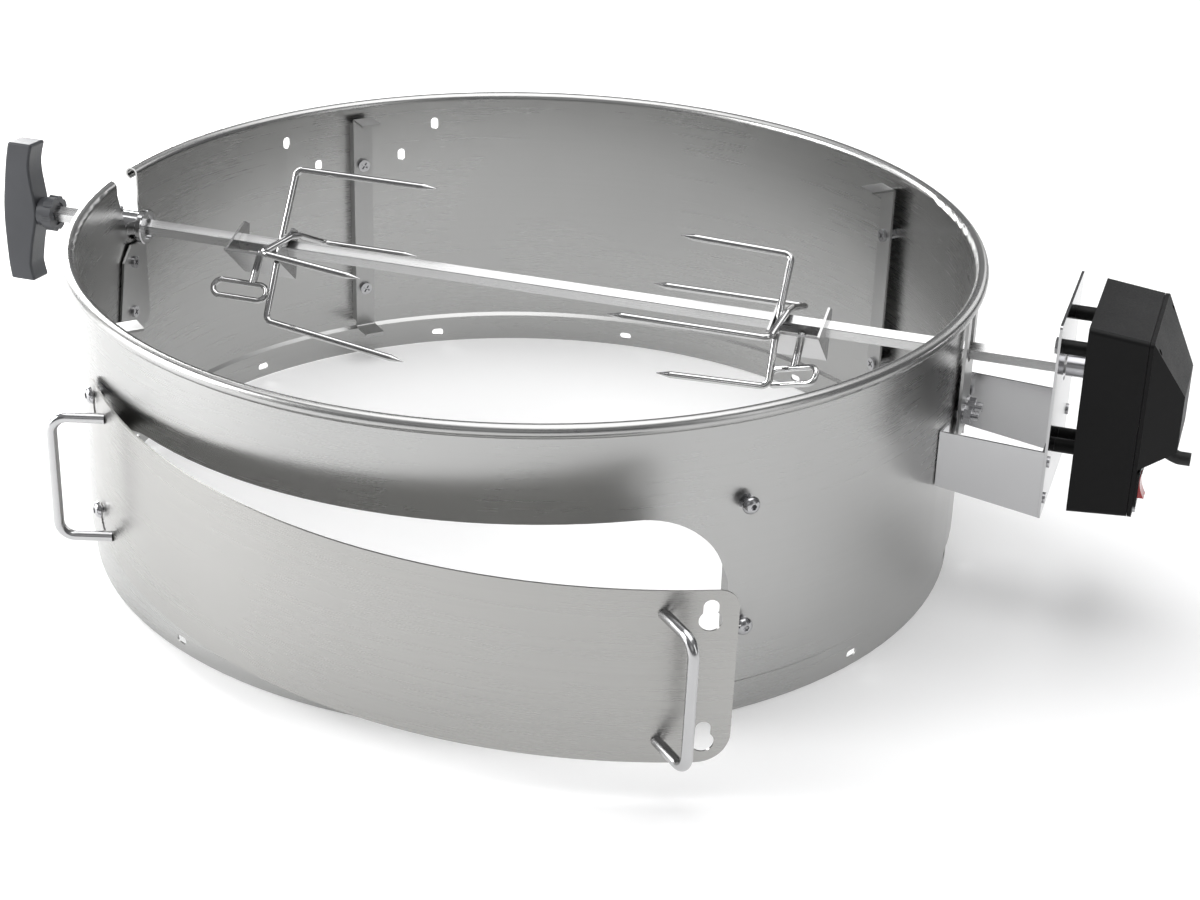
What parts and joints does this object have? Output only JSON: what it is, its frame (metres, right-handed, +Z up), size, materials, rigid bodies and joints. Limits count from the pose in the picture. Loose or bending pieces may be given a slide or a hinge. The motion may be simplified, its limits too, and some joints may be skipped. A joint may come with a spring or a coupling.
{
  "type": "rotisserie spit roaster ring",
  "caption": "Stainless kettle-grill rotisserie ring with a square motor-driven spit, two pronged meat forks, a hook-on curved door and a side-mounted gear motor.",
  "frame": {"origin": "ring axis at the bottom edge of the ring's spigot band", "axes": "+Z up along the ring axis, +X along the spit towards the motor, -Y the side with the window and the door"},
  "size_m": [0.7974, 0.619, 0.2079],
  "materials": {
    "ring_stainless": "horizontal brushed grain",
    "post_stainless": "fine brushed",
    "mount_steel": "satin",
    "door_stainless": "horizontal brushed grain",
    "handle_wire_steel": "satin polished wire",
    "spit_plated_steel": "satin plated",
    "fork_plated_steel": "plated",
    "prong_chrome": "bright plated",
    "bushing_chrome": "polished",
    "fastener_steel": "bright zinc plated",
    "handle_black_plastic": "moulded, satin",
    "housing_black_plastic": "moulded, satin",
    "standoff_black": "moulded",
    "gland_black_rubber": "moulded",
    "switch_black": "gloss",
    "rocker_red": "gloss",
    "gear_nylon": "moulded natural nylon",
    "gearbox_steel": "zinc plated"
  },
  "bodies": {
    "ring": {"arm_plate_rivets": "fastener_steel", "arm_wall_rivets": "fastener_steel", "bushing_rest_plate": "post_stainless", "cord_inlet_gland": "gland_black_rubber", "cover_screws": "fastener_steel", "door_stud_nuts": "fastener_steel", "door_studs": "fastener_steel", "gearbox_plate": "gearbox_steel", "gearbox_posts": "gearbox_steel", "grate_post_front_left": "post_stainless", "grate_post_front_right": "post_stainless", "grate_post_nuts": "fastener_steel", "grate_post_rear_left": "post_stainless", "grate_post_rear_right": "post_stainless", "grate_post_screws": "fastener_steel", "guide_plate_bolts": "fastener_steel", "guide_plate_nuts": "fastener_steel", "idler_pin": "gearbox_steel", "motor_arm_front": "mount_steel", "motor_arm_rear": "mount_steel", "motor_can": "gearbox_steel", "motor_front_cover": "housing_black_plastic", "motor_mount_bolts": "fastener_steel", "motor_mount_plate": "mount_steel", "motor_rear_housing": "housing_black_plastic", "motor_standoffs": "standoff_black", "post_sleeves": "fastener_steel", "rest_plate_nuts": "fastener_steel", "rest_plate_screws": "fastener_steel", "ring_shell": "ring_stainless", "spit_guide_plate": "post_stainless", "switch_frame": "switch_black"},
    "door": {"door_panel": "door_stainless", "door_handle_left": "handle_wire_steel", "door_handle_right": "handle_wire_steel"},
    "spit": {"spit_rod": "spit_plated_steel", "spit_bushing": "bushing_chrome", "bushing_set_screw": "fastener_steel", "handle_grip": "handle_black_plastic", "handle_ferrule": "handle_black_plastic"},
    "drive": {"drive_socket": "gearbox_steel", "output_gear": "gear_nylon"},
    "idler": {"idler_gear": "gear_nylon"},
    "rotor": {"motor_pinion": "gear_nylon"},
    "fork_left": {"fork_left_bracket": "fork_plated_steel", "fork_left_upright_wire": "prong_chrome", "fork_left_level_wire": "prong_chrome"},
    "fork_right": {"fork_right_bracket": "fork_plated_steel", "fork_right_upright_wire": "prong_chrome", "fork_right_level_wire": "prong_chrome"},
    "thumbscrew_left": {"fork_left_thumbscrew": "prong_chrome"},
    "thumbscrew_right": {"fork_right_thumbscrew": "prong_chrome"},
    "switch": {"switch_rocker": "rocker_red"}
  },
  "joints": [
    {"name": "spit_spin", "type": "hinge", "parent": "ring", "child": "spit", "pos_m": [0, 0, 0.1586], "axis": [1, 0, 0], "continuous": true},
    {"name": "drive_spin", "type": "hinge", "parent": "ring", "child": "drive", "pos_m": [0.3575, 0, 0.1586], "axis": [1, 0, 0], "continuous": true},
    {"name": "idler_spin", "type": "hinge", "parent": "ring", "child": "idler", "pos_m": [0.3675, 0, 0.1338], "axis": [1, 0, 0], "continuous": true},
    {"name": "rotor_spin", "type": "hinge", "parent": "ring", "child": "rotor", "pos_m": [0.3695, 0, 0.1138], "axis": [1, 0, 0], "continuous": true},
    {"name": "fork_left_slide", "type": "slide", "parent": "spit", "child": "fork_left", "axis": [1, 0, 0], "range_m": [-0.06, 0.06]},
    {"name": "fork_right_slide", "type": "slide", "parent": "spit", "child": "fork_right", "axis": [1, 0, 0], "range_m": [-0.06, 0.06]},
    {"name": "thumbscrew_left_turn", "type": "hinge", "parent": "fork_left", "child": "thumbscrew_left", "pos_m": [-0.185, -0.01325, 0.14362], "axis": [0, -0.6626, -0.749], "range_deg": [-140, 140]},
    {"name": "thumbscrew_right_turn", "type": "hinge", "parent": "fork_right", "child": "thumbscrew_right", "pos_m": [0.1815, -0.01325, 0.14362], "axis": [0, -0.6626, -0.749], "range_deg": [0, 115]},
    {"name": "door_swing", "type": "hinge", "parent": "ring", "child": "door", "pos_m": [-0.19718, -0.20633, 0.093], "axis": [0, 0, 1], "range_deg": [-2, 7]},
    {"name": "switch_rock", "type": "hinge", "parent": "ring", "child": "switch", "pos_m": [0.3951, -0.033, 0.1035], "axis": [0, 1, 0], "range_deg": [0, 18]}
  ],
  "couplings": [
    {"joint": "drive_spin", "follows": "spit_spin", "ratio": 1},
    {"joint": "idler_spin", "follows": "spit_spin", "ratio": -3.4286},
    {"joint": "rotor_spin", "follows": "spit_spin", "ratio": 8.8163}
  ]
}
